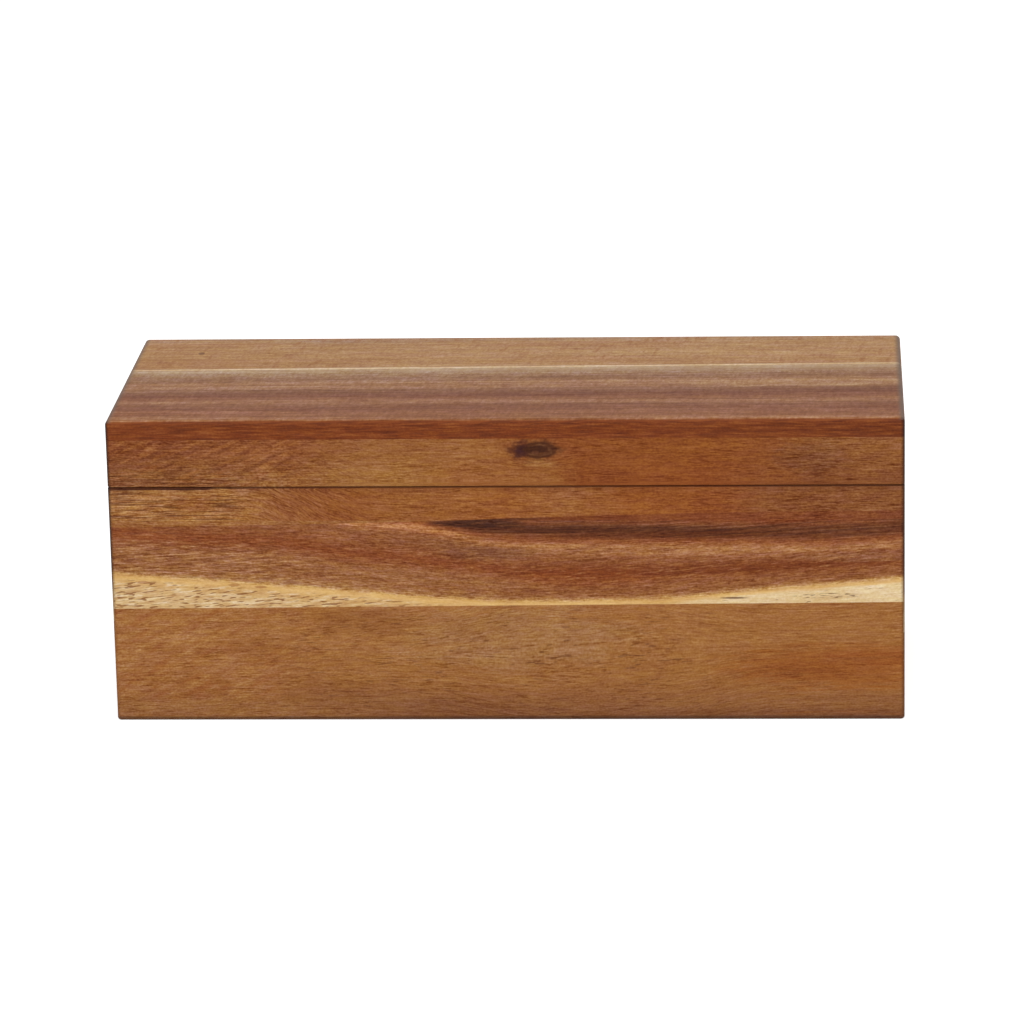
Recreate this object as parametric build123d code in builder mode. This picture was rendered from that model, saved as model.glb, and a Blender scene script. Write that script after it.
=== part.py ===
from build123d import *
from math import cos, radians, sin
import os

# A long wooden tea box. Its four walls are boards glued edge to edge and mitred
# at the corners, the bottom panel sits in a groove, two dividers make three
# compartments, and a mitred lid with an overlaid top turns on two brass stop hinges.
# The origin is the middle of the wooden base. +X runs along the length to the
# right, +Y towards the hinged back, and +Z up. All sizes are in millimetres.

# Outside of the box
length = 250.0
depth = 103.4
height = 98.7
seam_height = 77.0
seam_gap = 0.1
wall = 8.0
top_thickness = 6.2

# Eased edges
edge_ease = 1.5
foot_ease = 0.8
seam_ease = 0.3

# Glue lines between the boards: height at the wall's left end and at its right
# end, or at its front and back end
front_glue = ((37.2, 38.8), (66.0, 66.0))
back_glue = ((24.5, 23.6), (52.0, 53.2))
left_glue = ((33.0, 33.0), (59.5, 58.9))
right_glue = ((28.6, 29.2), (61.0, 61.0))
top_glue = (11.85, 16.5)

# Bottom panel in its groove
panel_thickness = 4.0
panel_rise = 3.0
groove_depth = 3.0
panel_play = 0.25

# Dividers in their housings
compartments = 3
divider_thickness = 5.0
divider_drop = 2.0
divider_ease = 0.8
housing_depth = 2.0

# Stop hinges, each drawn about its pin
hinge_length = 25.0
hinge_spread = 150.0
knuckles = 3
barrel_radius = 1.5
barrel_offset = 1.0
pin_radius = 0.75
pin_ease = 0.2
running_gap = 0.05
knuckle_side_gap = 0.12
knuckle_end_gap = 0.2
leaf_thickness = 1.2
leaf_width = 6.0
leaf_corner = 0.8
stop_radius = 2.3
open_angle = 95.0
stop_play = 0.4
mortise_play = 0.1
cove_play = 0.2

# Countersunk hinge screws
screw_length = 8.0
screw_radius = 0.8
screw_head_radius = 1.6
screw_pitch = 16.0
screw_inset = 3.3
screw_fit = 0.05
slot_width = 0.4
slot_depth = 0.35

# Worked-out values
inner_length = length - 2 * wall
inner_depth = depth - 2 * wall
body_top = seam_height - seam_gap / 2
lid_bottom = seam_height + seam_gap / 2
top_underside = height - top_thickness
panel_top = panel_rise + panel_thickness
divider_top = body_top - divider_drop
compartment_length = (inner_length - (compartments - 1) * divider_thickness) / compartments
divider_pitch = compartment_length + divider_thickness
knuckle_length = hinge_length / knuckles
hinge_y = depth / 2 + barrel_offset
hinge_centres = {"left": -hinge_spread / 2, "right": hinge_spread / 2}

os.makedirs("parts", exist_ok=True)


def save(piece, name):
    """Label a finished piece and write it."""
    piece.part.label = name
    export_step(piece.part, f"parts/{name}.step")


def section_plane(x, turned_over=False):
    """Cross-section of the hinge at x, with its local +Y up, or down when turned over."""
    facing = -1 if turned_over else 1
    return Plane(origin=(x, hinge_y, seam_height), x_dir=(0, 1, 0), z_dir=(facing, 0, 0))


def leaf_face(x, turned_over=False):
    """Face of a hinge leaf that the screws are driven from, with +Y to the back."""
    section = section_plane(x, turned_over)
    face = Plane(origin=section.origin, x_dir=section.z_dir, z_dir=section.y_dir)
    return face.offset(-seam_gap / 2)


def screw_places(turned_over=False):
    """Where the screw heads sit: two in each leaf, for both hinges."""
    places = []
    for x in hinge_centres.values():
        face = leaf_face(x, turned_over)
        for along in (-screw_pitch / 2, screw_pitch / 2):
            spot = Location((along, -(barrel_offset + screw_inset), 0))
            places.append(face.location * spot)
    return places


# Screw, standing head up at the origin. The shape without its slot also cuts the
# pilot holes, so that the shank seats in the wood.
with BuildPart() as screw_form:
    with BuildSketch(Plane.XZ):
        with BuildLine():
            Polyline(
                (0, 0),
                (screw_head_radius, 0),
                (screw_radius, screw_radius - screw_head_radius),
                (screw_radius, -screw_length),
                (0, -screw_length),
                close=True,
            )
        make_face()
    revolve(axis=Axis.Z)

with BuildPart() as screw:
    add(screw_form.part)
    with BuildSketch():
        Rectangle(2 * screw_head_radius, slot_width)
    extrude(amount=-slot_depth, mode=Mode.SUBTRACT)


def hinge_room(rim, turned_over=False):
    """What the hinges take out of a back rim: leaf pockets, barrel coves and pilot holes."""
    pocket_depth = leaf_width + mortise_play
    into_wood = 1 if turned_over else -1
    with BuildPart() as room:
        for x in hinge_centres.values():
            with BuildSketch(Plane.XY.offset(rim)):
                with Locations((x, depth / 2 - pocket_depth)):
                    Rectangle(
                        hinge_length + 2 * mortise_play,
                        2 * pocket_depth,
                        align=(Align.CENTER, Align.MIN),
                    )
            extrude(amount=into_wood * leaf_thickness)
            with BuildSketch(section_plane(x)):
                Circle(barrel_radius + cove_play)
            extrude(amount=hinge_length / 2 + mortise_play, both=True)
        with Locations(*screw_places(turned_over)):
            add(screw_form.part)
    return room


body_hinge_room = hinge_room(body_top)
lid_hinge_room = hinge_room(lid_bottom, turned_over=True)

# The body's four walls as one mitred ring, before it is divided into boards
with BuildPart() as body_ring:
    with BuildSketch():
        Rectangle(length, depth)
    extrude(amount=body_top)
    fillet(body_ring.edges().filter_by(Axis.Z), edge_ease)
    fillet(body_ring.faces().sort_by(Axis.Z)[0].edges(), foot_ease)
    chamfer(body_ring.faces().sort_by(Axis.Z)[-1].edges(), seam_ease)

    with BuildSketch():
        Rectangle(inner_length, inner_depth)
    extrude(amount=body_top, mode=Mode.SUBTRACT)
    chamfer(body_ring.faces().sort_by(Axis.Z)[-1].inner_wires().edges(), seam_ease)

    with BuildSketch(Plane.XY.offset(panel_rise)):
        Rectangle(inner_length + 2 * groove_depth, inner_depth + 2 * groove_depth)
    extrude(amount=panel_thickness, mode=Mode.SUBTRACT)

    with BuildSketch(Plane.XY.offset(panel_top)):
        with GridLocations(divider_pitch, 0, compartments - 1, 1):
            Rectangle(divider_thickness, inner_depth + 2 * housing_depth)
    extrude(amount=body_top - panel_top, mode=Mode.SUBTRACT)

    add(body_hinge_room.part, mode=Mode.SUBTRACT)

# The lid's four rails as one mitred ring
with BuildPart() as lid_ring:
    with BuildSketch(Plane.XY.offset(lid_bottom)):
        Rectangle(length, depth)
    extrude(amount=top_underside - lid_bottom)
    fillet(lid_ring.edges().filter_by(Axis.Z), edge_ease)
    chamfer(lid_ring.faces().sort_by(Axis.Z)[0].edges(), seam_ease)

    with BuildSketch(Plane.XY.offset(lid_bottom)):
        Rectangle(inner_length, inner_depth)
    extrude(amount=top_underside - lid_bottom, mode=Mode.SUBTRACT)
    chamfer(lid_ring.faces().sort_by(Axis.Z)[0].inner_wires().edges(), seam_ease)

    add(lid_hinge_room.part, mode=Mode.SUBTRACT)

# The top laid over the rails, eased all round, before it is divided into boards
with BuildPart() as top_blank:
    with BuildSketch(Plane.XY.offset(top_underside)):
        Rectangle(length, depth)
    extrude(amount=top_thickness)
    fillet(top_blank.edges().filter_by(Axis.Z), edge_ease)
    fillet(top_blank.faces().sort_by(Axis.Z)[-1].edges(), edge_ease)


def wall_plan(side):
    """Plan of one mitred wall, drawn from the outer corners to the inner ones."""
    outer_x, outer_y = length / 2, depth / 2
    inner_x, inner_y = inner_length / 2, inner_depth / 2
    if side in ("front", "back"):
        sign = -1 if side == "front" else 1
        return (
            (-outer_x, sign * outer_y),
            (outer_x, sign * outer_y),
            (inner_x, sign * inner_y),
            (-inner_x, sign * inner_y),
        )
    sign = -1 if side == "left" else 1
    return (
        (sign * outer_x, -outer_y),
        (sign * outer_x, outer_y),
        (sign * inner_x, inner_y),
        (sign * inner_x, -inner_y),
    )


def glue_plane(side, heights):
    """Plane of a glue line that runs from one height to another along its wall."""
    start, end = heights
    middle = (start + end) / 2
    if side in ("front", "back"):
        tilt = (-(end - start) / length, 0, 1)
    else:
        tilt = (0, -(end - start) / depth, 1)
    return Plane(origin=(0, 0, middle), z_dir=tilt)


def cut_board(ring, side, above=None, below=None):
    """One board of a ring: the wall inside its mitres, between its glue lines."""
    with BuildPart() as board:
        add(ring.part)
        with BuildSketch():
            with BuildLine():
                Polyline(*wall_plan(side), close=True)
            make_face()
        extrude(amount=height, mode=Mode.INTERSECT)
        if above:
            split(bisect_by=glue_plane(side, above), keep=Keep.TOP)
        if below:
            split(bisect_by=glue_plane(side, below), keep=Keep.BOTTOM)
    return board


# Wall boards of the body and rails of the lid
wall_glue = {
    "front": front_glue,
    "back": back_glue,
    "left": left_glue,
    "right": right_glue,
}
for side, (lower_line, upper_line) in wall_glue.items():
    save(cut_board(body_ring, side, below=lower_line), f"{side}_board_lower")
    save(cut_board(body_ring, side, above=lower_line, below=upper_line), f"{side}_board_middle")
    save(cut_board(body_ring, side, above=upper_line), f"{side}_board_upper")
    save(cut_board(lid_ring, side), f"lid_{side}_rail")

# The two boards of the top meet on a line that runs a little askew
top_skew = Plane(
    origin=(0, sum(top_glue) / 2, height),
    z_dir=(-(top_glue[1] - top_glue[0]) / length, 1, 0),
)
for name, kept in (("lid_top_front_board", Keep.BOTTOM), ("lid_top_back_board", Keep.TOP)):
    with BuildPart() as top_board:
        add(top_blank.part)
        split(bisect_by=top_skew, keep=kept)
    save(top_board, name)

# Bottom panel, a little smaller than its groove
with BuildPart() as bottom_panel:
    with BuildSketch(Plane.XY.offset(panel_rise)):
        Rectangle(
            inner_length + 2 * (groove_depth - panel_play),
            inner_depth + 2 * (groove_depth - panel_play),
        )
    extrude(amount=panel_thickness)
save(bottom_panel, "bottom_panel")

# Dividers, with the long edges of their tops eased
for name, side in (("divider_left", -1), ("divider_right", 1)):
    with BuildPart() as divider:
        with BuildSketch(Plane.XY.offset(panel_top)):
            with Locations((side * divider_pitch / 2, 0)):
                Rectangle(divider_thickness, inner_depth + 2 * housing_depth)
        extrude(amount=divider_top - panel_top)
        top_edges = divider.faces().sort_by(Axis.Z)[-1].edges().filter_by(Axis.Y)
        fillet(top_edges, divider_ease)
    save(divider, name)


def hinge_leaf(x, own_knuckles, bore_radius, turned_over=False):
    """One leaf: its plate, its knuckles and the stop rib that runs behind them."""
    section = section_plane(x, turned_over)
    stop_angle = radians(open_angle / 2 + stop_play / 2)
    rib_reach = 2 * stop_radius
    rib_side = mortise_play / 2 - barrel_offset
    with BuildPart() as leaf:
        # The rib fills the space behind the wall down to the stop face, which
        # points at the pin and meets the other leaf's when the lid stands open
        with BuildSketch(section):
            Circle(stop_radius)
            with BuildLine():
                Polyline(
                    (0, 0),
                    (rib_reach * cos(stop_angle), -rib_reach * sin(stop_angle)),
                    (rib_side, -rib_reach),
                    (rib_side, 0),
                    close=True,
                )
            make_face(mode=Mode.INTERSECT)
        with BuildSketch(section):
            Circle(barrel_radius)
            with Locations((0, -seam_gap / 2)):
                Rectangle(
                    barrel_offset + leaf_width,
                    leaf_thickness,
                    align=(Align.MAX, Align.MAX),
                )
        extrude(amount=hinge_length / 2, both=True)

        inner_corners = leaf.edges().filter_by(Axis.Z).group_by(Axis.Y)[0]
        fillet(inner_corners, leaf_corner)

        for index in range(knuckles):
            if index in own_knuckles:
                continue
            middle = (index - (knuckles - 1) / 2) * knuckle_length
            with BuildSketch(section.offset(middle)):
                Circle(barrel_radius + knuckle_side_gap)
            room = (knuckle_length + knuckle_end_gap) / 2
            extrude(amount=room, both=True, mode=Mode.SUBTRACT)

        with BuildSketch(section):
            Circle(bore_radius)
        extrude(amount=hinge_length, both=True, mode=Mode.SUBTRACT)

        with Locations(leaf_face(x, turned_over)):
            with Locations((0, -(barrel_offset + screw_inset))):
                with GridLocations(screw_pitch, 0, 2, 1):
                    CounterSinkHole(
                        screw_radius + screw_fit,
                        screw_head_radius + screw_fit,
                        depth=2 * leaf_thickness,
                        counter_sink_angle=90,
                    )
    return leaf


# Hinges: the pin is tight in the body's knuckles and turns in the lid's
body_knuckles = range(0, knuckles, 2)
lid_knuckles = range(1, knuckles, 2)
for side, x in hinge_centres.items():
    body_leaf = hinge_leaf(x, body_knuckles, pin_radius)
    save(body_leaf, f"hinge_{side}_body_leaf")
    lid_leaf = hinge_leaf(x, lid_knuckles, pin_radius + running_gap, turned_over=True)
    save(lid_leaf, f"hinge_{side}_lid_leaf")
    with BuildPart() as pin:
        with BuildSketch(section_plane(x)):
            Circle(pin_radius)
        extrude(amount=hinge_length / 2, both=True)
        chamfer(pin.edges().filter_by(GeomType.CIRCLE), pin_ease)
    save(pin, f"hinge_{side}_pin")

# Hinge screws, one group for the leaves of the body and one for those of the lid
for name, turned_over in (("hinge_body_screws", False), ("hinge_lid_screws", True)):
    with BuildPart() as screws:
        with Locations(*screw_places(turned_over)):
            add(screw.part)
    save(screws, name)
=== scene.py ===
from math import cos, radians, sin

import bpy
from mathutils import Matrix, Vector


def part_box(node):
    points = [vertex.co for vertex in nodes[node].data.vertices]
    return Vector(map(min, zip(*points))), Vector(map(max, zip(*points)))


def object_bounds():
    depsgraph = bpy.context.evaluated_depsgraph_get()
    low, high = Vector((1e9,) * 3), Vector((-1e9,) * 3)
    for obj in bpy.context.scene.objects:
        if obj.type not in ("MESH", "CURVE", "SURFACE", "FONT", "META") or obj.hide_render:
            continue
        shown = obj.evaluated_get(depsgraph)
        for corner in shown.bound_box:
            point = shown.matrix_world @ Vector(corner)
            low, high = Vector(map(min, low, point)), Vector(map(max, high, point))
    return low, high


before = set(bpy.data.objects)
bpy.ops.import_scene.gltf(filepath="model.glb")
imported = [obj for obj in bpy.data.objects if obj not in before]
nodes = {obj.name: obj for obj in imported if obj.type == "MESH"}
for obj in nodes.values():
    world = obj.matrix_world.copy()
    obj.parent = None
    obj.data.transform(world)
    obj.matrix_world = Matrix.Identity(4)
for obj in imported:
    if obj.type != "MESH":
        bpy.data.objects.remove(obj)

# A wooden tea box of oiled acacia boards. The CAD nodes keep their shapes, and this
# script gives them wood and brass, lights them and looks at them.
# Materials work in millimetres, in the frame of the box: x to the right, y to the
# back, z up. Colours are linear. A colour in a list stands with the place where it
# lies, and a tint is a mask from 0 to 1, scaled by its strength, and a colour.

cad_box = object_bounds()
MM = 0.001


def span(node):
    """Lowest and highest corner of a node in millimetres."""
    low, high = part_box(node)
    return low / MM, high / MM


# Measures of the box, read from its nodes
box_high = cad_box[1] / MM
HALF_LENGTH = box_high.x
HEIGHT = box_high.z
BACK = span("lid_top_back_board")[1].y
SEAM = (span("lid_front_rail")[0].z + span("front_board_upper")[1].z) / 2

# Rounding of the outer edges, how far the lid's glue line moves back for each
# millimetre to the right, and the middle of the knot
EDGE_EASE = 1.5
GLUE_RISE = 4.65 / 250
KNOT_X, KNOT_Z = 9.8, 89.3

# Colours of acacia, from the sapwood to the knot
CREAM = (0.68, 0.47, 0.235)
HONEY = (0.64, 0.39, 0.150)
STRAW = (0.365, 0.165, 0.050)
GREY_TAN = (0.335, 0.150, 0.050)
TAN = (0.335, 0.135, 0.036)
GOLD = (0.325, 0.128, 0.030)
ORANGE = (0.270, 0.077, 0.012)
RUST = (0.240, 0.062, 0.009)
BROWN = (0.250, 0.083, 0.024)
RED = (0.190, 0.045, 0.008)
UMBER = (0.100, 0.026, 0.008)
INK = (0.042, 0.010, 0.004)

# Colours of painted shade on the upright corners and the foot, on the rim of the top at
# its ends and on the lips of the seam, and of a painted greyish reflection along its back edge
CORNER_AND_FOOT_SHADE = (0.10, 0.07, 0.08)
END_RIM_SHADE = (0.125, 0.084, 0.064)
BACK_RIM_REFLECTION = (0.27, 0.20, 0.15)
SEAM_SHADE = (0.15, 0.05, 0.008)


class Signal:
    """A value that varies over a surface: one node output, with plain arithmetic."""

    def __init__(self, tree, socket):
        self.tree = tree
        self.socket = socket

    def math(self, operation, *others):
        return add_node(self.tree, "Math", (self, *others), operation=operation)

    def __add__(self, other):
        return self.math("ADD", other)

    def __sub__(self, other):
        return self.math("SUBTRACT", other)

    def __mul__(self, other):
        return self.math("MULTIPLY", other)

    def __truediv__(self, other):
        return self.math("DIVIDE", other)

    def __abs__(self):
        return self.math("ABSOLUTE")

    def at_least(self, other):
        return self.math("MAXIMUM", other)

    def flipped(self):
        """0 where the value is 1, and 1 where it is 0."""
        return self * -1 + 1


def add_node(tree, kind, inputs=(), output=0, **settings):
    """Add a shader node, fill its inputs with values or signals, and give one output."""
    node = tree.nodes.new("ShaderNode" + kind)
    for name, value in settings.items():
        setattr(node, name, value)
    pairs = inputs.items() if isinstance(inputs, dict) else enumerate(inputs)
    for key, value in pairs:
        if isinstance(value, Signal):
            tree.links.new(value.socket, node.inputs[key])
        else:
            node.inputs[key].default_value = value
    return Signal(tree, node.outputs[output])


def smooth(value, low, high):
    """0 at low, 1 at high and smooth between; low may be the higher of the two."""
    if low > high:
        return smooth(value, high, low).flipped()
    inputs = (value, low, high, 0.0, 1.0)
    return add_node(value.tree, "MapRange", inputs, interpolation_type="SMOOTHSTEP")


def mixed(factor, first, second, blend="MIX"):
    """The first colour where the factor is 0, and the second where it is 1."""
    tree = next(v.tree for v in (factor, first, second) if isinstance(v, Signal))
    colours = [c if isinstance(c, Signal) else (*c, 1.0) for c in (first, second)]
    inputs = {0: factor, 6: colours[0], 7: colours[1]}
    return add_node(tree, "Mix", inputs, output=2, data_type="RGBA", blend_type=blend)


def bands(value, stops):
    """Colours by a value: stops is a list of (value, colour), lowest value first."""
    low, high = stops[0][0], stops[-1][0]
    colours = add_node(value.tree, "ValToRGB", ((value - low) * (1 / (high - low)),))
    ramp = colours.socket.node.color_ramp
    for at, colour in stops[1:-1]:
        element = ramp.elements.new((at - low) / (high - low))
        element.color = (*colour, 1.0)
    ramp.elements[0].color = (*stops[0][1], 1.0)
    ramp.elements[-1].color = (*stops[-1][1], 1.0)
    return colours


def line_through(value, points):
    """A smooth line through points of (value, height), lowest value first."""
    low, reach = points[0][0], points[-1][0] - points[0][0]
    floor = min(p[1] for p in points)
    rise = max(p[1] for p in points) - floor
    curve = add_node(value.tree, "FloatCurve", {1: (value - low) * (1 / reach)})
    mapping = curve.socket.node.mapping
    line = mapping.curves[0]
    places = [((at - low) / reach, (height - floor) / rise) for at, height in points]
    line.points[0].location = places[0]
    line.points[1].location = places[-1]
    for place in places[1:-1]:
        line.points.new(*place)
    mapping.update()
    return curve * rise + floor


class Board:
    """A board's material while it is made, with its directions in millimetres.

    along runs with the grain, across over its width and into through its thickness.
    flow is across as the grain takes it where it bends. slant is how far the grain
    rises across the board for each millimetre along it.
    """

    def __init__(self, name, seed, along="x", across="z", into="y", slant=0.0):
        self.material = bpy.data.materials.new(name)
        self.material.use_nodes = True
        self.tree = self.material.node_tree
        self.seed = seed
        self.slant = slant
        place = add_node(self.tree, "TexCoord", output="Object")
        inputs = {0: place, "Scale": 1 / MM}
        scaled = add_node(self.tree, "VectorMath", inputs, operation="SCALE")
        split = add_node(self.tree, "SeparateXYZ", (scaled,)).socket.node
        self.axes = {n: Signal(self.tree, split.outputs[n.upper()]) for n in "xyz"}
        self.along = self.axes[along]
        self.across = self.axes[across]
        self.into = self.axes[into]
        self.flow = self.across
        self.colour = None

    def noise(self, length, width, detail=1.0, slant=None, lean=0.0, stretch=1.0):
        """Noise around 0 whose marks are so long and so wide, new at each call.

        Marks that run across the board may lean along it, so far for each millimetre.
        stretch widens all the marks, also by a signal.
        """
        slant = self.slant if slant is None else slant
        self.seed += 1
        flow = self.flow - self.along * slant if slant else self.flow
        along = self.along - self.across * lean if lean else self.along
        place = add_node(self.tree, "CombineXYZ", (along, flow, self.into))
        if isinstance(stretch, Signal):
            narrow = stretch.math("POWER", -1.0) * (1 / width)
            size = add_node(self.tree, "CombineXYZ", (1 / length, narrow, narrow))
        else:
            size = (1 / length, 1 / (width * stretch), 1 / (width * stretch))
        shift = (7.31 * self.seed, 3.17 * self.seed, 5.83 * self.seed)
        inputs = (place, size, shift)
        moved = add_node(self.tree, "VectorMath", inputs, operation="MULTIPLY_ADD")
        inputs = {"Vector": moved, "Scale": 1.0, "Detail": detail, "Roughness": 0.55}
        return add_node(self.tree, "TexNoise", inputs) - 0.5

    def offsets(self, centre, radii):
        """How far a place lies from a centre, along and across, in radii."""
        along = (self.along - centre[0]) * (1 / radii[0])
        across = (self.across - centre[1]) * (1 / radii[1])
        return along, across

    def oval(self, centre, radii):
        """0 at the centre of an oval and 1 on its line."""
        along, across = self.offsets(centre, radii)
        return along * along + across * across

    def lens(self, centre, radii):
        """The same for a lens with a pointed end at each side."""
        along, across = self.offsets(centre, radii)
        return along * along + abs(across)

    def patch(self, centre, radii, ragged=1.0):
        """1 inside an oval and 0 outside it, with a soft edge that follows the grain."""
        edge = self.noise(radii[0] * 0.5, radii[1] * 0.3, detail=2)
        fringe = self.noise(radii[0] * 0.2, 0.5)
        distance = self.oval(centre, radii) + edge * (2.5 * ragged) + fringe * (2 * ragged)
        return smooth(distance, 1.6, 0.3)

    def tint(self, mask, colour, blend="MIX"):
        """Lay a colour over the board where the mask is 1."""
        self.colour = mixed(mask, self.colour, colour, blend)

    def shade(self, lightness):
        """Scale the colour. Acacia's darker marks are redder too."""
        lightness = lightness.at_least(0.3)
        scales = (lightness, lightness.math("POWER", 1.65), lightness.math("POWER", 2.8))
        grain = add_node(self.tree, "CombineXYZ", scales)
        inputs = (self.colour, grain)
        self.colour = add_node(self.tree, "VectorMath", inputs, operation="MULTIPLY")

    def end_grain(self):
        """Darker, with dots for pores, on the sawn ends of the board."""
        ends = smooth(abs(self.along), HALF_LENGTH - 0.35, HALF_LENGTH - 0.1)
        rings = smooth(self.noise(200, 1.6, detail=2), -0.05, 0.12)
        dots = smooth(self.noise(200, 0.35), 0.1, 0.2)
        self.tint(ends * (rings * 0.12 + 0.4), (0.62, 0.52, 0.44), "MULTIPLY")
        self.tint(ends * dots * 0.5, (0.45, 0.34, 0.28), "MULTIPLY")

    def paint_edge_light(self):
        """Paint shade on the outer edges and the lips of the seam, and a reflection along the back.
        """
        x, y, z = self.axes["x"], self.axes["y"], self.axes["z"]
        outside = smooth(abs(x), HALF_LENGTH - 0.9, HALF_LENGTH - 0.5)
        outside = outside.at_least(smooth(abs(y), BACK - 0.9, BACK - 0.5))

        # Painted shade on the upright corners, less towards the foot and at the left, and on the
        # foot
        end = smooth(abs(x), HALF_LENGTH - 1.5, HALF_LENGTH - 0.1)
        side = smooth(abs(y), BACK - 1.8, BACK - 0.9)
        shade_fades = smooth(z, 60, 20) * (smooth(x, 1, -1) * 0.35 + 0.4)
        corners = end * side * shade_fades.flipped()
        foot = smooth(z, 1.6, 0.9) * outside * 0.5
        self.tint(corners.at_least(foot) * 0.94, CORNER_AND_FOOT_SHADE, "MULTIPLY")

        # Painted shade on the rim of the top at its ends, and a painted greyish reflection along its
        # back
        upper = smooth(z, HEIGHT - 1.0, HEIGHT - 0.5)
        rim = smooth(abs(x), HALF_LENGTH - 2.6, HALF_LENGTH - 0.4)
        behind = smooth(y, BACK - EDGE_EASE, BACK - 0.1)
        self.tint(rim * upper * 0.85, END_RIM_SHADE)
        self.tint(behind * upper * 0.85, BACK_RIM_REFLECTION)

        # Painted shade on the lips of the seam, wider and darker at the left
        left = smooth(x, -90, -94)
        lips = smooth(abs(z - SEAM + 0.12 + left * 0.12) - 0.18 - left * 0.2, 0.22, 0.0)
        self.tint(lips * outside * (left * 0.25 + 0.68), SEAM_SHADE, "MULTIPLY")

    def finish(self, lively=1.0, pores=1.0, width=1.0, length=1.0):
        """Put fibres, pores and painted edge shade on the board's colours and make its surface.

        lively scales the contrast of the grain; width and length stretch its marks.
        """
        # Marks along the grain, lighter and darker than the colour under them
        grit = self.noise(0.75, 0.5, stretch=width)
        flecks = self.noise(2.6 * length, 0.3, stretch=width)
        streaks = self.noise(6 * length, 0.7, detail=2, stretch=width)
        fibres = self.noise(22 * length, 0.5, detail=3, stretch=width)
        clouds = self.noise(24, 6, detail=2)
        marks = grit * 0.8 + flecks * 0.9 + streaks * 0.65 + fibres * 0.6
        self.shade(marks * lively + clouds * 0.35 + 1.02)

        # Slow shifts between a pinkish and a yellowish tone
        tone = smooth(self.noise(6, 1.4, detail=2, stretch=width), -0.2, 0.2)
        tones = mixed(tone, (0.96, 0.93, 1.12), (1.04, 1.07, 0.88))
        self.tint(lively, tones, "MULTIPLY")

        # Open pores are short dark dashes, closer together in some places
        crowd = self.noise(18, 5)
        dashes = self.noise(3.4, 0.36, stretch=width) + crowd * 0.45
        pore = smooth(dashes, 0.10, 0.20) * pores
        self.tint(pore * 0.6, (0.58, 0.40, 0.24), "MULTIPLY")
        # Painted shade on the edges and the seam, and a painted reflection along the top's back edge
        self.paint_edge_light()

        # Satin oil, duller in the pores, which are sunk a little
        shader = self.tree.nodes["Principled BSDF"]
        shader.inputs["Specular IOR Level"].default_value = 0.15
        roughness = pore * 0.25 + streaks * 0.2 + 0.6
        height = flecks * 0.4 + fibres * 0.4 - pore
        inputs = {"Strength": 0.3, "Distance": 0.05 * MM, "Height": height}
        bump = add_node(self.tree, "Bump", inputs)
        self.tree.links.new(self.colour.socket, shader.inputs["Base Color"])
        self.tree.links.new(roughness.socket, shader.inputs["Roughness"])
        self.tree.links.new(bump.socket, shader.inputs["Normal"])
        return self.material


def dress(material, *names):
    """Give a material to CAD nodes."""
    for name in names:
        for slot in nodes[name].material_slots:
            slot.material = material


def front_lower():
    """The board along the foot: tan, redder at the left, with an orange streak."""
    board = Board("acacia front lower", seed=10, slant=0.03)
    x, z = board.along, board.across

    # The grain parts round a calm middle
    spread = line_through(x, [(-125, 0), (-50, 0), (-20, 1.2), (10, 4), (45, 4), (90, 0), (125, 0)])
    board.flow = z - ((z - 23.5) * 0.14).math("TANH") * spread
    wander = board.noise(60, 9) * 5 + board.noise(14, 0.6) * 2.5
    # Darker towards the foot, partly the wood's colour and partly painted shade near the floor
    board.colour = bands(
        z + wander,
        [
            (0, (0.215, 0.080, 0.027)),
            (2.5, (0.212, 0.075, 0.024)),
            (4.3, (0.238, 0.090, 0.030)),
            (9, (0.284, 0.110, 0.032)),
            (15, (0.328, 0.134, 0.036)),
            (38, (0.342, 0.139, 0.037)),
        ],
    )

    # Redder and lighter patches lie askew over each other at the left
    left = smooth(x + board.noise(20, 12) * 50, -45, -95)
    askew = board.noise(11, 2.4, detail=2, slant=0.6)
    board.tint(left * 0.6, (0.335, 0.132, 0.038))
    board.tint(left * smooth(askew, 0.0, 0.14) * 0.6, (0.285, 0.088, 0.020))
    board.tint(left * smooth(askew, -0.02, -0.14) * 0.55, (0.385, 0.175, 0.055))

    # A grey middle, a brown patch at its left, and an orange streak at the right
    board.tint(board.patch((2, 27), (34, 11)) * 0.85, (0.348, 0.162, 0.056))
    board.tint(board.patch((-44, 33), (16, 5)) * 0.5, (0.255, 0.090, 0.024))
    board.tint(board.patch((110, 18), (40, 7)) * 0.8, (0.292, 0.088, 0.014))
    board.tint(board.patch((118, 20.5), (20, 2.5)) * 0.7, (0.262, 0.068, 0.011))
    board.tint(board.patch((98, 16.5), (24, 3.2), 0.7) * 0.45, (0.250, 0.066, 0.011))
    grain = smooth(board.noise(30, 0.7), 0.04, 0.15) * smooth(x, 50, 90)
    board.tint(grain * 0.55, (0.250, 0.080, 0.016))

    # The dark foot, partly painted shade, is thinner at the left and the right; its lowest
    # millimetres are painted shade on the rounded bottom edge
    rise = smooth(x, -20, -70).at_least(smooth(x, 30, 70) * smooth(z, 2.5, 5.5) * 0.7)
    board.tint(rise * smooth(z, 9, 5) * 0.85, (0.298, 0.123, 0.038))
    board.tint(smooth(z + wander * 0.3, 1.8, 0.9) * 0.45, (0.135, 0.058, 0.030))

    # Dark dashes stand in flocks round the middle
    flock = smooth(board.noise(14, 5), -0.06, 0.06) * smooth(abs(x + 5), 85, 55)
    dash = smooth(board.noise(4.5, 0.42), 0.10, 0.18) * flock
    board.tint(dash * 0.7, (0.165, 0.055, 0.015))
    calm = smooth(x, 30, 60)
    lively = left * 0.15 - calm * 0.05 + 0.72
    return board.finish(lively=lively, pores=calm * -0.4 + 1.1, length=1.2)


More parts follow.
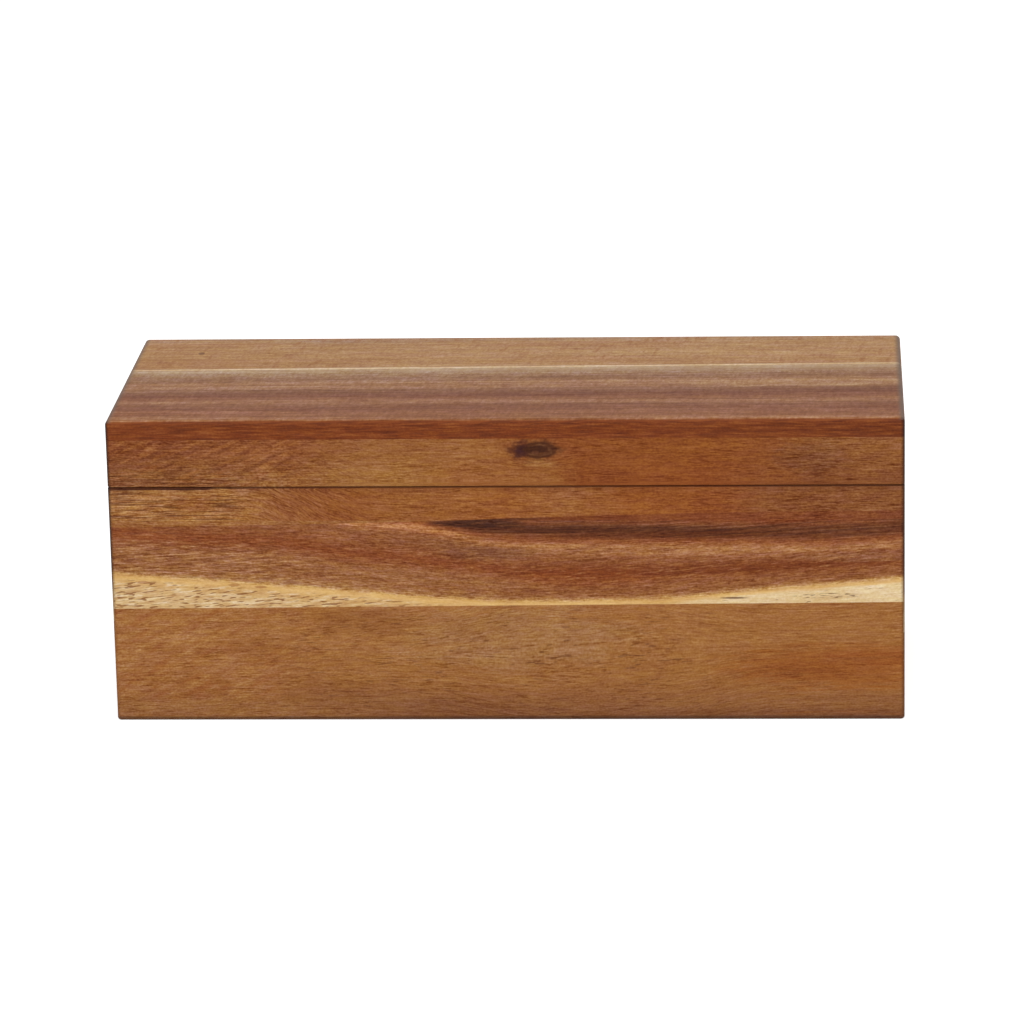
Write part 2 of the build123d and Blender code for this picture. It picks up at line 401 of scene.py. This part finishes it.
def sapwood_line(x):
    """Height of the border between the sapwood and the heartwood of the front."""
    return line_through(
        x,
        [(-125, 48.8), (-110, 47.8), (-75, 45.2), (-45, 42.6), (-15, 40.2), (5, 39.3)]
        + [(40, 39.8), (60, 41.3), (80, 43.1), (100, 44.9), (125, 46.8)],
    )


def salmon_line(x):
    """Height of the salmon line, which leaves the board's top near its middle."""
    return line_through(
        x,
        [(-125, 73.5), (-100, 71.5), (-75, 71), (-62, 68.8), (-54, 66.4), (-45, 65.4), (-30, 64)]
        + [(-22, 62.3), (-15, 60.8), (5, 57.6), (30, 57.1), (60, 56.9), (80, 56.7), (95, 57)]
        + [(110, 57.6), (125, 59)],
    )


def glue_line(x):
    """Height of the line between the middle and the upper board of the front."""
    return line_through(
        x,
        [(-125, 64.1), (-90, 64.5), (-56, 65.0), (-26, 65.7), (2, 66.6), (40, 67.7)]
        + [(73, 68.3), (125, 68.7)],
    )


def front_middle():
    """Heartwood over pale sapwood, with a salmon line under a near-black streak."""
    board = Board("acacia front middle", seed=30)
    x, z = board.along, board.across
    sapwood, salmon = sapwood_line(x), salmon_line(x)
    board.flow = z - sapwood * 0.7
    calm = board.noise(30, 4) * 1.2
    wander = calm + board.noise(8, 0.5)
    above = z + wander - salmon + smooth(x, 78, 98) * 0.7
    depth = z + wander - sapwood

    # heart is 0 at the sapwood and 1 at the salmon line
    heart = depth / (salmon - sapwood)
    board.colour = mixed(smooth(x, -10, 15), left_heartwood(heart), right_heartwood(heart))
    dark_streak(board, above)
    mottle(board, heart, above)
    sapwood_colours(board, z + calm - sapwood)

    # The glue line climbs to the right, so the upper board shows at the left
    board.tint(smooth(z - glue_line(x), -0.12, 0.12), (0.312, 0.122, 0.034))
    in_heart = smooth(depth, -0.8, 0.4)
    return board.finish(lively=in_heart * 0.8 + 0.3, pores=in_heart * 1.1)


def left_heartwood(heart):
    """Tan over the sapwood, then a red band, brown, and the salmon line."""
    return bands(
        heart,
        [
            (0.02, (0.405, 0.195, 0.066)),
            (0.08, (0.335, 0.142, 0.045)),
            (0.15, (0.295, 0.112, 0.037)),
            (0.28, (0.312, 0.124, 0.041)),
            (0.36, (0.297, 0.112, 0.037)),
            (0.44, (0.264, 0.084, 0.025)),
            (0.51, (0.238, 0.061, 0.015)),
            (0.58, (0.232, 0.058, 0.013)),
            (0.66, (0.243, 0.072, 0.020)),
            (0.75, (0.258, 0.087, 0.029)),
            (0.88, (0.235, 0.083, 0.029)),
            (0.94, (0.320, 0.120, 0.041)),
            (0.98, (0.405, 0.165, 0.056)),
            (1.03, (0.405, 0.165, 0.056)),
            (1.10, (0.280, 0.090, 0.026)),
        ],
    )


def right_heartwood(heart):
    """Brown over the sapwood, then a rusty band, and the salmon line."""
    return bands(
        heart,
        [
            (0.03, (0.375, 0.165, 0.050)),
            (0.12, (0.262, 0.090, 0.026)),
            (0.30, (0.254, 0.081, 0.023)),
            (0.38, (0.232, 0.066, 0.016)),
            (0.47, (0.182, 0.041, 0.0075)),
            (0.57, (0.174, 0.038, 0.0067)),
            (0.65, (0.214, 0.057, 0.014)),
            (0.74, (0.270, 0.089, 0.029)),
            (0.81, (0.285, 0.097, 0.031)),
            (0.90, (0.362, 0.146, 0.052)),
            (1.00, (0.386, 0.161, 0.056)),
            (1.10, (0.275, 0.086, 0.026)),
        ],
    )


def dark_streak(board, above):
    """The near-black streak over the salmon line, with threads and patches beside it."""
    streak = bands(
        above,
        [
            (0.5, (0.370, 0.142, 0.048)),
            (1.6, (0.276, 0.083, 0.024)),
            (2.6, (0.225, 0.063, 0.017)),
            (3.5, (0.155, 0.040, 0.010)),
            (4.5, (0.117, 0.028, 0.006)),
            (5.4, (0.115, 0.028, 0.007)),
            (6.6, (0.150, 0.045, 0.014)),
            (7.8, (0.202, 0.058, 0.018)),
            (9.2, (0.206, 0.049, 0.011)),
        ],
    )
    board.tint(smooth(above, 0.4, 1.0), streak)
    thread = smooth(board.noise(24, 0.45, detail=2), 0.0, 0.12)
    board.tint(thread * smooth(above, 2.4, 4.0) * 0.5, INK)
    board.tint(thread * smooth(abs(above + 3.5), 3.0, 1.0) * 0.3, (0.16, 0.048, 0.016))

    # The tip of the streak, a grey patch under it and a light one at the right
    board.tint(board.patch((-9, 65), (14, 1.5), 0.4) * 0.9, INK)
    board.tint(board.patch((-5, 55.2), (15, 2.2), 0.6) * 0.6, (0.200, 0.074, 0.032))
    board.tint(board.patch((110, 53.6), (19, 1.5), 0.6) * 0.5, (0.330, 0.140, 0.062))
    vein = board.noise(50, 0.7, detail=2) * smooth(above, 1.5, 3.5)
    board.shade(vein * 1.5 + 1)
    board.tint(board.patch((24, 63), (44, 1.4), 0.4) * 0.4, INK)

    # Two places are lighter: round the salmon line, and low beside the middle
    for place, radii in (((-38, 63.2), (28, 3.8)), ((24, 47.2), (24, 3))):
        lighter = smooth(board.oval(place, radii), 1.5, 0.3)
        board.tint(lighter, (1.17, 1.17, 1.18), "MULTIPLY")


def mottle(board, heart, above):
    """Dark and light spots in the heartwood, strongest at its left."""
    left = smooth(board.along, -40, -85)
    marks = board.noise(7, 0.7, detail=2, slant=0.1)
    low = smooth(heart, 0.55, 0.40)
    board.tint(smooth(marks, 0.0, 0.12) * (left * 0.3 + 0.3), (0.180, 0.054, 0.016))
    board.tint(smooth(marks, -0.02, -0.12) * left * low * 0.75, (0.42, 0.200, 0.085))
    light = smooth(marks, -0.02, -0.14) * smooth(above, 1.5, 0.0) * 0.4
    board.tint(light * (left * -0.3 + 1), (0.38, 0.155, 0.054))


def sapwood_colours(board, border):
    """Sapwood: honey-coloured along the heartwood, flecked at the left, pale at the right.

    border is the height over the line between sapwood and heartwood.
    """
    x = board.along
    layer = border + board.noise(12, 0.9) * 1.8
    sap = bands(
        layer,
        [
            (-9, (0.63, 0.415, 0.190)),
            (-5, (0.635, 0.410, 0.185)),
            (-3.4, (0.63, 0.392, 0.160)),
            (-2.0, (0.655, 0.396, 0.145)),
            (-0.9, (0.675, 0.405, 0.140)),
            (0.4, (0.52, 0.280, 0.098)),
        ],
    )
    board.tint(smooth(border + board.noise(8, 0.5) * 0.4, 1.2, -0.3), sap)
    pale = smooth(layer, -0.7, -2.2) * smooth(x, 30, 80) * 0.95
    board.tint(pale, (0.745, 0.555, 0.308))

    # Light and tan flecks, dark specks, and three reddish blotches at the left
    in_sap = smooth(layer, -1.4, -2.6)
    flecked = board.noise(6, 0.75, detail=2, slant=0.15)
    specks = board.noise(3.6, 0.6, slant=0.15)
    at_left = in_sap * smooth(x, 10, -55)
    board.tint(smooth(flecked, -0.02, -0.12) * at_left * 0.65, (0.78, 0.60, 0.37))
    board.tint(smooth(flecked, 0.02, 0.14) * at_left * 0.5, (0.47, 0.235, 0.083))
    board.tint(smooth(specks, 0.07, 0.14) * at_left * 0.85, (0.235, 0.088, 0.026))
    for place in ((-115, 46), (-86, 45), (-77.5, 44.3)):
        board.tint(board.patch(place, (2, 0.5), 0.4) * 0.7, (0.36, 0.140, 0.042))

    # A few dashes all along, one long dark dash and a dotted one at the right
    few = smooth(board.noise(5, 0.5, slant=0.05), 0.2, 0.26) * in_sap
    board.tint(few * 0.75, (0.20, 0.09, 0.033))
    long_dash = board.patch((71.5, 40.3), (4.2, 0.3), 0.3)
    dots = smooth(board.noise(2.6, 0.32), 0.04, 0.1)
    dotted = board.patch((101, 41), (10, 0.8), 0.3) * dots
    board.tint(long_dash.at_least(dotted) * 0.85, (0.115, 0.048, 0.017))


def front_upper():
    """The board that the seam divides, with the knot in its upper half."""
    board = Board("acacia front upper", seed=60)
    x, z = board.along, board.across
    lid = smooth(z, SEAM - 0.1, SEAM + 0.1)

    # The grain flows round the knot, and slopes down under the lid at the left
    bend = smooth(board.oval((KNOT_X, KNOT_Z), (20, 8)), 1.0, 0.0)
    slope = line_through(x, [(-125, 0), (-82, 0), (-70, -3), (-50, -11), (-38, -13), (125, -13)])
    board.flow = z - (z - KNOT_Z) * bend * 0.5 - slope * smooth(z, 79, 76)
    board.colour = upper_colours(board, lid)
    # Painted shadow on the body just under the seam
    shade = lid.flipped() * smooth(z, SEAM - 3, SEAM - 1)
    board.tint(shade * 0.5, (0.75, 0.70, 0.68), "MULTIPLY")

    # Diagonal figure and dark streaks at the left
    left = smooth(x, -50, -75)
    figure = board.noise(10, 1.5, detail=2, slant=0.45)
    board.tint(smooth(figure, 0.0, 0.14) * left * lid * 0.65, (0.313, 0.108, 0.028))
    board.tint(smooth(figure, -0.02, -0.14) * left * lid * 0.55, (0.168, 0.046, 0.012))
    ripple = smooth(board.noise(4, 0.7, detail=2, slant=-0.5), 0.0, 0.14)
    board.tint(ripple * smooth(abs(x + 62), 22, 12) * 0.5, (0.190, 0.052, 0.012))
    streak = smooth(board.noise(15, 0.45, detail=2), 0.0, 0.1)
    reach = smooth(x, -72, -90) * smooth(z, 85, 81)
    board.tint(streak * reach * 0.85, (0.145, 0.045, 0.011))

    # A reddish patch under the lid at the left, and a grey one in it at the right
    board.tint(board.patch((-98, 71.5), (6, 2.5)) * 0.6, (0.27, 0.085, 0.019))
    board.tint(board.patch((96, 86), (11, 5)) * 0.5, (0.200, 0.072, 0.028))
    knot(board)

    # Under the glue line at the right the dark top of the middle board shows
    below = bands(
        x,
        [
            (-26, (0.200, 0.060, 0.016)),
            (-16, (0.085, 0.022, 0.007)),
            (-4, (0.075, 0.019, 0.006)),
            (6, (0.120, 0.032, 0.009)),
            (16, (0.180, 0.044, 0.010)),
            (60, (0.200, 0.049, 0.011)),
            (125, (0.205, 0.056, 0.016)),
        ],
    )
    board.tint(smooth(glue_line(x) - z, -0.12, 0.12), below)
    ends = smooth(abs(x - 5), 50, 90)
    body = smooth(z, SEAM + 0.1, SEAM - 0.1)
    lively = ends * 0.15 + body * 0.1 + left * lid * 0.25 + 0.86
    return board.finish(lively=lively, pores=ends * 0.3 + 1.0)


def upper_colours(board, lid):
    """Colours along the seam's board: high and low on the lid, and under the lid."""
    place = board.along + board.noise(12, 5, detail=2) * 16 + board.noise(5, 0.5) * 14
    high = bands(
        place,
        [
            (-125, (0.205, 0.054, 0.013)),
            (-90, (0.220, 0.064, 0.017)),
            (-66, (0.230, 0.066, 0.016)),
            (-44, (0.290, 0.108, 0.030)),
            (-15, (0.292, 0.108, 0.029)),
            (2, (0.265, 0.088, 0.020)),
            (18, (0.232, 0.062, 0.011)),
            (62, (0.245, 0.068, 0.010)),
            (82, (0.225, 0.061, 0.011)),
            (100, (0.240, 0.080, 0.020)),
            (125, (0.262, 0.092, 0.025)),
        ],
    )
    low = bands(
        place,
        [
            (-125, (0.270, 0.102, 0.031)),
            (-85, (0.295, 0.114, 0.032)),
            (-60, (0.300, 0.118, 0.032)),
            (-46, (0.340, 0.144, 0.037)),
            (-28, (0.340, 0.142, 0.034)),
            (-12, (0.298, 0.103, 0.024)),
            (14, (0.280, 0.096, 0.021)),
            (24, (0.228, 0.058, 0.010)),
            (64, (0.242, 0.062, 0.010)),
            (98, (0.208, 0.062, 0.015)),
            (125, (0.225, 0.073, 0.019)),
        ],
    )
    under = bands(
        place,
        [
            (-125, (0.400, 0.178, 0.054)),
            (-84, (0.376, 0.157, 0.045)),
            (-72, (0.290, 0.100, 0.028)),
            (-50, (0.270, 0.083, 0.017)),
            (-30, (0.295, 0.102, 0.024)),
            (0, (0.280, 0.087, 0.017)),
            (20, (0.300, 0.106, 0.028)),
            (38, (0.268, 0.077, 0.013)),
            (66, (0.248, 0.066, 0.012)),
            (86, (0.228, 0.072, 0.019)),
            (125, (0.228, 0.075, 0.021)),
        ],
    )
    level = board.across + board.noise(20, 3) * 5
    return mixed(lid, under, mixed(smooth(level, 90, 79), high, low))


def knot(board):
    """A dark mass at the left of a ringed eye, and a reddish smudge under it."""
    fringe = board.noise(2.4, 0.6, detail=3)
    board.tint(board.patch((5.5, 85.0), (3, 2)) * 0.6, (0.210, 0.060, 0.014))
    board.tint(board.patch((11.5, 84.4), (5, 1.4)) * 0.5, (0.345, 0.150, 0.040))
    halo = board.lens((10.2, 88.9), (9.4, 3.8)) + fringe * 1.5
    board.tint(smooth(halo, 1.3, 0.4) * 0.85, (0.090, 0.024, 0.005))

    # The eye, a lighter arc in it, and its ring, which fades to the right
    eye = board.oval((11.0, 88.7), (5.2, 2.3)) + fringe * 0.8
    board.tint(smooth(eye, 1.0, 0.6) * 0.85, (0.080, 0.021, 0.004))
    arc = smooth(abs(eye - 0.55), 0.2, 0.05)
    board.tint(arc * 0.45, (0.135, 0.052, 0.020))
    fade = smooth(board.along, 18, 13) * 0.6 + 0.4
    board.tint(smooth(abs(eye - 1.0), 0.42, 0.1) * fade * 0.85, (0.058, 0.013, 0.002))

    # The mass at the left in its stain, with a horn on top
    stain = board.lens((5.0, 88.6), (4.0, 3.4)) + fringe * 2
    board.tint(smooth(stain, 1.2, 0.4) * 0.7, (0.105, 0.024, 0.006))
    mass = board.lens((5.9, 88.6), (3.7, 3.0)) + fringe * 1.5
    board.tint(smooth(mass, 1.1, 0.0) * 0.95, (0.034, 0.006, 0.006))
    horn = board.oval((6.3, 91.4), (1.5, 1.1)) + fringe
    board.tint(smooth(horn, 1.3, 0.4) * 0.6, (0.100, 0.022, 0.006))

    # The pupil, and a lighter spot in it
    pupil = board.oval((10.0, 89.0), (4.2, 1.25)) + fringe * 0.8
    board.tint(smooth(pupil, 1.3, 0.5) * 0.92, (0.044, 0.009, 0.001))
    spot = board.oval((9.9, 88.0), (1.3, 0.7)) + fringe * 0.5
    board.tint(smooth(spot, 1.3, 0.3) * 0.6, (0.130, 0.042, 0.020))


def top_front():
    """Front board of the top: mauve and tan stripes under a pale margin."""
    board = Board("acacia top front", seed=90, across="y", into="z")
    x, y, z = board.along, board.across, board.into

    # Stripes run with the glue line at the back and with the front edge at the front
    straight = y - x * GLUE_RISE * smooth(y, -50, 10)
    fan = straight + (z - HEIGHT) * 0.8 + board.noise(90, 6) * 3 + board.noise(12, 1.5) * 2
    board.colour = bands(
        fan,
        [
            (-52.3, (0.220, 0.074, 0.026)),
            # Lighter from here to -50 on the rounding of the front edge, partly the wood's colour
            # and partly a painted highlight
            (-51.4, (0.310, 0.130, 0.054)),
            (-50, (0.285, 0.115, 0.046)),
            (-46.5, (0.228, 0.083, 0.030)),
            (-43, (0.232, 0.084, 0.034)),
            (-38, (0.190, 0.063, 0.025)),
            (-34, (0.197, 0.070, 0.028)),
            (-29.5, (0.285, 0.124, 0.055)),
            (-25.5, (0.212, 0.074, 0.028)),
            (-22, (0.167, 0.052, 0.020)),
            (-18, (0.172, 0.060, 0.024)),
            (-14, (0.230, 0.097, 0.043)),
            (-12, (0.306, 0.144, 0.070)),
            (-8, (0.287, 0.131, 0.057)),
            (-6, (0.334, 0.166, 0.081)),
            (-4, (0.265, 0.122, 0.056)),
            (-1, (0.232, 0.104, 0.046)),
            (3, (0.288, 0.148, 0.077)),
        ],
    )
    margin = bands(
        fan,
        [
            (2, (0.278, 0.139, 0.070)),
            (6, (0.306, 0.171, 0.086)),
            (8, (0.355, 0.217, 0.120)),
            (10, (0.397, 0.254, 0.142)),
            (12, (0.425, 0.280, 0.158)),
        ],
    )
    board.tint(smooth(fan, 1, 4), margin)

    # A pale line ends the margin, and behind it the colour of the back board begins
    board.tint(smooth(abs(straight - 12.6), 1.2, 0.3) * 0.95, (0.610, 0.425, 0.250))
    board.tint(smooth(straight, 13.2, 13.8), (0.340, 0.168, 0.068))
    board.tint(board.patch((100, -8), (45, 5)) * 0.6, (0.380, 0.210, 0.100))
    board.tint(board.patch((-105, -42), (30, 3)) * 0.5, (0.300, 0.120, 0.057))
    plain = smooth(y, 4, 10) * -0.5 + 1
    line = board.noise(60, 1.3, detail=2)
    board.shade(line * plain * 0.9 + 1)
    front_edge(board)
    top = smooth(z, HEIGHT - 0.9, HEIGHT - 0.3)
    curl = board.noise(1.2, 3.6, detail=2, lean=0.1)
    board.shade(top * curl * plain * 0.7 + 0.985)
    board.end_grain()
    lively = (top * -0.1 + 0.8) * plain
    return board.finish(lively=lively, pores=0.3, width=top * 1.2 + 1, length=2.0)


def front_edge(board):
    """The top's front edge shows the red layer under the stripes, with dark sweeps."""
    x, y, z = board.along, board.across, board.into
    edge = smooth(z + board.noise(20, 1) * 0.5, HEIGHT - 0.15, HEIGHT - 0.6)
    edge = edge * smooth(y + (z - HEIGHT) * 0.8, -42, -48)
    board.tint(edge, (0.185, 0.038, 0.006))
    board.tint(edge * smooth(x, 20, 100) * 0.8, (0.163, 0.034, 0.005))
    board.tint(edge * smooth(z, HEIGHT - 2.4, HEIGHT - 0.8) * 0.4, (0.220, 0.052, 0.009))
    sweep = board.noise(40, 0.6, detail=2, slant=0.07)
    board.tint(edge * smooth(sweep, 0.0, 0.12) * 0.7, (0.115, 0.023, 0.005))
    board.tint(edge * smooth(sweep, -0.02, -0.14) * 0.6, (0.250, 0.068, 0.013))


def top_back():
    """Back board of the top, a light golden tan with a curl in its grain."""
    board = Board("acacia top back", seed=110, across="y", into="z")
    x, y, z = board.along, board.across, board.into
    wander = board.noise(60, 5) * 9 + board.noise(20, 1.5) * 4
    board.colour = bands(
        y + wander,
        [
            (14, (0.352, 0.178, 0.069)),
            (20, (0.338, 0.164, 0.058)),
            (29, (0.380, 0.206, 0.083)),
            (38, (0.348, 0.176, 0.067)),
            (44, (0.338, 0.170, 0.066)),
            (48, (0.340, 0.200, 0.115)),
            (51, (0.300, 0.160, 0.080)),
        ],
    )
    board.tint(smooth(x, 0, 90) * 0.5, (0.390, 0.210, 0.086))
    board.tint(smooth(x, -50, -100) * 0.4, (0.345, 0.160, 0.056))
    pink = smooth(board.noise(60, 2.5, detail=2), -0.02, 0.14)
    board.tint(pink * 0.45, (0.370, 0.170, 0.080))
    pale = smooth(board.noise(70, 1.6, detail=2), 0.02, 0.14)
    board.tint(pale * 0.5, (0.430, 0.255, 0.112))

    # Curl lies across the grain and leans a little, more of it in some places
    top = smooth(z, HEIGHT - 0.9, HEIGHT - 0.3)
    some = smooth(board.noise(50, 30), -0.12, 0.1) * 0.7 + 0.3
    curl = board.noise(2.2, 10, detail=2, lean=0.15)
    board.tint(smooth(curl, 0.04, 0.17) * some * top * 0.75, (0.290, 0.116, 0.035))
    fine = board.noise(1.2, 3, detail=2, lean=0.1)
    board.shade(fine * top * 0.4 + 0.985)

    # A dark speck at the left, and the brown face of the back edge
    speck = smooth(board.oval((-104, 31.7), (1.1, 1.6)), 1.2, 0.6)
    board.tint(speck * top * 0.7, UMBER)
    behind = smooth(y, BACK - 1.6, BACK - 0.8) * smooth(z, HEIGHT - 0.4, HEIGHT - 1.2)
    board.tint(behind, (0.310, 0.135, 0.046))
    board.end_grain()
    return board.finish(lively=0.6, pores=0.25, width=top * 1.2 + 1, length=2.4)


def plain_board(name, seed, tones, streak, along="x", into="y", across="z"):
    """A board that the photograph doesn't show: tones over its width, and one streak.

    streak is the streak's centre, its radii and its colour.
    """
    board = Board(name, seed, along, across, into)
    wander = board.noise(80, 20) * 14 + board.noise(10, 0.6) * 1.5
    board.colour = bands(board.across + wander, tones)
    centre, radii, colour = streak
    board.tint(board.patch(centre, radii) * 0.8, colour)
    dark = smooth(board.noise(34, 1.5, detail=2), 0.02, 0.14)
    board.tint(dark * 0.3, (0.180, 0.052, 0.014))
    return board


def wall_boards(wall, seed, along, into):
    """Materials for the three boards of a wall; the upper one is for its lid rail too."""
    lower = plain_board(
        f"acacia {wall} lower", seed,
        [(0, (0.215, 0.074, 0.024)), (12, TAN), (26, GREY_TAN), (40, (0.300, 0.112, 0.033))],
        ((-20, 15), (40, 5), ORANGE), along, into,
    )
    middle = plain_board(
        f"acacia {wall} middle", seed + 20,
        [(36, CREAM), (43, HONEY), (43.8, (0.340, 0.150, 0.048)), (47, BROWN), (56, RED)]
        + [(60, BROWN), (68, (0.290, 0.100, 0.030))],
        ((10, 62), (50, 2.5), UMBER), along, into,
    )
    upper = plain_board(
        f"acacia {wall} upper", seed + 40,
        [(64, (0.290, 0.100, 0.026)), (74, GOLD), (84, (0.270, 0.085, 0.020)), (95, TAN)],
        ((30, 84), (45, 4), RUST), along, into,
    )
    lively = smooth(middle.across, 41, 46) * 0.5 + 0.35
    return lower.finish(), middle.finish(lively=lively, pores=lively), upper.finish()


def bottom():
    """The bottom panel, plain tan with a lighter streak."""
    tones = [(-60, STRAW), (0, TAN), (60, STRAW)]
    streak = ((20, 10), (50, 6), STRAW)
    board = plain_board("acacia base", 400, tones, streak, across="y", into="z")
    return board.finish(lively=0.7, pores=0.6)


def divider():
    """Both dividers, tan below and lighter above."""
    tones = [(0, TAN), (80, STRAW)]
    streak = ((0, 50), (30, 6), STRAW)
    board = plain_board("acacia divider", 420, tones, streak, along="y", into="x")
    return board.finish(lively=0.7, pores=0.6)


def brass():
    """Brushed brass with a little tarnish."""
    bright, tarnished = (0.80, 0.55, 0.24), (0.55, 0.34, 0.13)
    material = bpy.data.materials.new("brushed brass")
    material.use_nodes = True
    tree = material.node_tree
    place = add_node(tree, "TexCoord", output="Object")
    moved = add_node(tree, "VectorMath", (place, (300, 4000, 4000)), operation="MULTIPLY")
    brushing = add_node(tree, "TexNoise", {"Vector": moved, "Scale": 1.0, "Detail": 3.0})
    cloud = add_node(tree, "TexNoise", {"Vector": place, "Scale": 220.0, "Detail": 2.0})
    colour = mixed(smooth(cloud, 0.4, 0.7), bright, tarnished)
    bump = add_node(tree, "Bump", {"Strength": 0.1, "Distance": 0.02 * MM, "Height": brushing})
    shader = tree.nodes["Principled BSDF"]
    shader.inputs["Metallic"].default_value = 1.0
    tree.links.new(colour.socket, shader.inputs["Base Color"])
    tree.links.new((brushing * 0.2 + 0.2).socket, shader.inputs["Roughness"])
    tree.links.new(bump.socket, shader.inputs["Normal"])
    return material


def add_object(name, data):
    """Put an object into the scene."""
    thing = bpy.data.objects.new(name, data)
    bpy.context.scene.collection.objects.link(thing)
    return thing


def camera():
    """The photograph's camera: a long lens, a little above and to the right of the middle."""
    yaw, pitch, roll = radians(-3.6440), radians(16.4023), radians(1.2444)
    place = Vector((99.87, -1583.9, 520.6)) * MM
    ahead = Vector((sin(yaw) * cos(pitch), cos(yaw) * cos(pitch), -sin(pitch)))
    level = Vector((cos(yaw), -sin(yaw), 0))
    down = ahead.cross(level)
    right = level * cos(roll) + down * sin(roll)
    below = down * cos(roll) - level * sin(roll)
    data = bpy.data.cameras.new("camera")
    data.sensor_width = 36.0
    data.lens = 179.67
    data.clip_start = 0.05
    view = add_object("camera", data)
    axes = Matrix((right, -below, -ahead)).transposed().to_4x4()
    view.matrix_world = Matrix.Translation(place) @ axes
    bpy.context.scene.camera = view


def soft_light(name, place, size, power):
    """A square area light that faces the middle of the box."""
    middle = Vector((0, 0, 0.05))
    data = bpy.data.lights.new(name, "AREA")
    data.size = size
    data.energy = power
    aim = middle - Vector(place)
    turn = aim.to_track_quat("-Z", "Y").to_matrix().to_4x4()
    add_object(name, data).matrix_world = Matrix.Translation(place) @ turn


def seen(tree):
    """1 for what the camera sees, directly, in gloss or through glass, and 0 for light."""
    rays = add_node(tree, "LightPath").socket.node
    kinds = [Signal(tree, rays.outputs[f"Is {k} Ray"]) for k in ("Camera", "Glossy", "Transmission")]
    return kinds[0].at_least(kinds[1]).at_least(kinds[2])


def floor():
    """A white floor that keeps the shadow of the box."""
    reach = 6.0
    grey = 0.80
    glow = 0.56
    mesh = bpy.data.meshes.new("floor")
    corners = [(-reach, -reach, 0), (reach, -reach, 0), (reach, reach, 0), (-reach, reach, 0)]
    mesh.from_pydata(corners, [], [(0, 1, 2, 3)])
    sheet = add_object("floor", mesh)
    material = bpy.data.materials.new("white floor")
    material.use_nodes = True
    tree = material.node_tree
    shader = tree.nodes["Principled BSDF"]
    shader.inputs["Base Color"].default_value = (grey, grey, grey, 1)
    shader.inputs["Roughness"].default_value = 0.9
    shader.inputs["Specular IOR Level"].default_value = 0.0
    shader.inputs["Emission Color"].default_value = (1, 1, 1, 1)
    tree.links.new((seen(tree) * glow).socket, shader.inputs["Emission Strength"])
    mesh.materials.append(material)


def surroundings():
    """White behind the box for the eye and for gloss, and a softer fill for the light."""
    fill = 0.55
    world = bpy.data.worlds.new("studio")
    bpy.context.scene.world = world
    world.use_nodes = True
    tree = world.node_tree
    background = tree.nodes["Background"]
    background.inputs["Color"].default_value = (1, 1, 1, 1)
    tree.links.new((seen(tree) * (1 - fill) + fill).socket, background.inputs["Strength"])


# Wood for the boards, and brass for the hinges and their screws
dress(front_lower(), "front_board_lower")
dress(front_middle(), "front_board_middle")
dress(front_upper(), "front_board_upper", "lid_front_rail")
dress(top_front(), "lid_top_front_board")
dress(top_back(), "lid_top_back_board")
back = wall_boards("back", 200, along="x", into="y")
sides = wall_boards("side", 300, along="y", into="x")
for wall, materials in (("back", back), ("left", sides), ("right", sides)):
    dress(materials[0], f"{wall}_board_lower")
    dress(materials[1], f"{wall}_board_middle")
    dress(materials[2], f"{wall}_board_upper", f"lid_{wall}_rail")
dress(bottom(), "bottom_panel")
dress(divider(), "divider_left", "divider_right")
dress(brass(), *(name for name in nodes if name.startswith("hinge_")))

# The view, the light and the floor
camera()
soft_light("overhead", (0.0, -0.3, 1.3), 1.8, 9.0)
soft_light("front", (0.1, -1.5, 0.9), 1.5, 9.3)
floor()
surroundings()
bpy.context.scene.view_settings.view_transform = "Standard"
